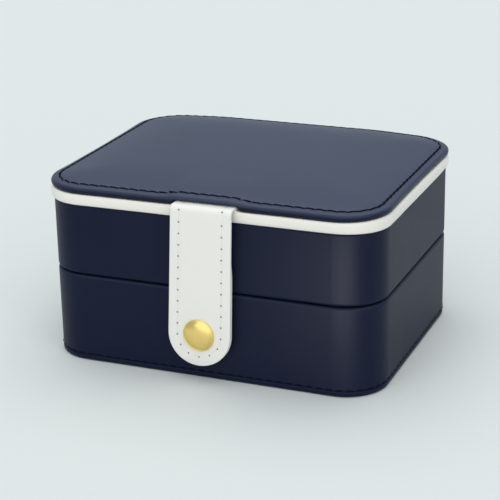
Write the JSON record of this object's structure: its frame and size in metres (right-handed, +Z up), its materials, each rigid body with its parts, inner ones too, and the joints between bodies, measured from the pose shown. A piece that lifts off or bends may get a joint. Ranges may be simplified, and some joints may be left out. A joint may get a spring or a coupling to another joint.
{
  "type": "jewellery case",
  "caption": "Two-tier leather jewellery case with a crowned lid, an upper tray and a lower box on rear leather hinges, closed by a front strap with a snap.",
  "frame": {"origin": "centre of the base's flat underside, under the middle of the closed case", "axes": "+X to the right seen from the front, -Y out of the front where the strap hangs, +Z up"},
  "size_m": [0.1524, 0.1279, 0.0823],
  "materials": {
    "navy_leather": "fine grained, satin",
    "white_leather": "fine grained, satin",
    "board": "matte grey board",
    "lining_cloth": "short velvet pile",
    "brass": "polished",
    "spring_steel": "drawn wire",
    "mirror": "silvered glass"
  },
  "bodies": {
    "lower_box": {"base_panel": "navy_leather", "lower_wall": "board", "lower_wrap": "navy_leather", "lower_floor_pad": "lining_cloth", "lower_lining": "lining_cloth", "lower_divider_main": "lining_cloth", "lower_divider_left": "lining_cloth", "lower_divider_right": "lining_cloth", "snap_stud": "brass", "snap_washer": "brass", "hinge_leather_lower": "navy_leather", "hinge_fold_tray": "navy_leather"},
    "upper_tray": {"tray_wall": "board", "tray_wrap": "navy_leather", "tray_underside_cloth": "lining_cloth", "tray_floor": "board", "tray_floor_pad": "lining_cloth", "tray_lining": "lining_cloth", "tray_divider_main": "lining_cloth", "tray_divider_cross": "lining_cloth", "ring_roll_1": "lining_cloth", "ring_roll_2": "lining_cloth", "ring_roll_3": "lining_cloth", "ring_roll_4": "lining_cloth", "ring_roll_5": "lining_cloth", "ring_roll_6": "lining_cloth", "ring_roll_7": "lining_cloth", "hinge_leather_tray": "navy_leather", "hinge_fold_lid": "navy_leather"},
    "lid": {"lid_piping": "white_leather", "lid_board": "board", "lid_mirror": "mirror", "lid_lining": "lining_cloth", "lid_stiffener": "board", "lid_pad": "navy_leather", "strap_tab": "white_leather", "strap_fold": "white_leather", "hinge_leather_lid": "navy_leather"},
    "strap": {"strap_leather": "white_leather", "strap_backing": "white_leather", "snap_cap": "brass", "snap_socket": "brass", "snap_spring": "spring_steel"}
  },
  "joints": [
    {"name": "tray_hinge", "type": "hinge", "parent": "lower_box", "child": "upper_tray", "pos_m": [0, 0.059, 0.0397], "axis": [-1, 0, 0], "range_deg": [0, 100], "deforming": ["hinge_fold_tray"]},
    {"name": "lid_hinge", "type": "hinge", "parent": "upper_tray", "child": "lid", "pos_m": [0, 0.059, 0.07145], "axis": [-1, 0, 0], "range_deg": [0, 100], "deforming": ["hinge_fold_lid"]},
    {"name": "strap_lift", "type": "hinge", "parent": "lid", "child": "strap", "pos_m": [0, -0.0621, 0.0754], "axis": [-1, 0, 0], "range_deg": [0, 150], "deforming": ["strap_fold"]}
  ]
}
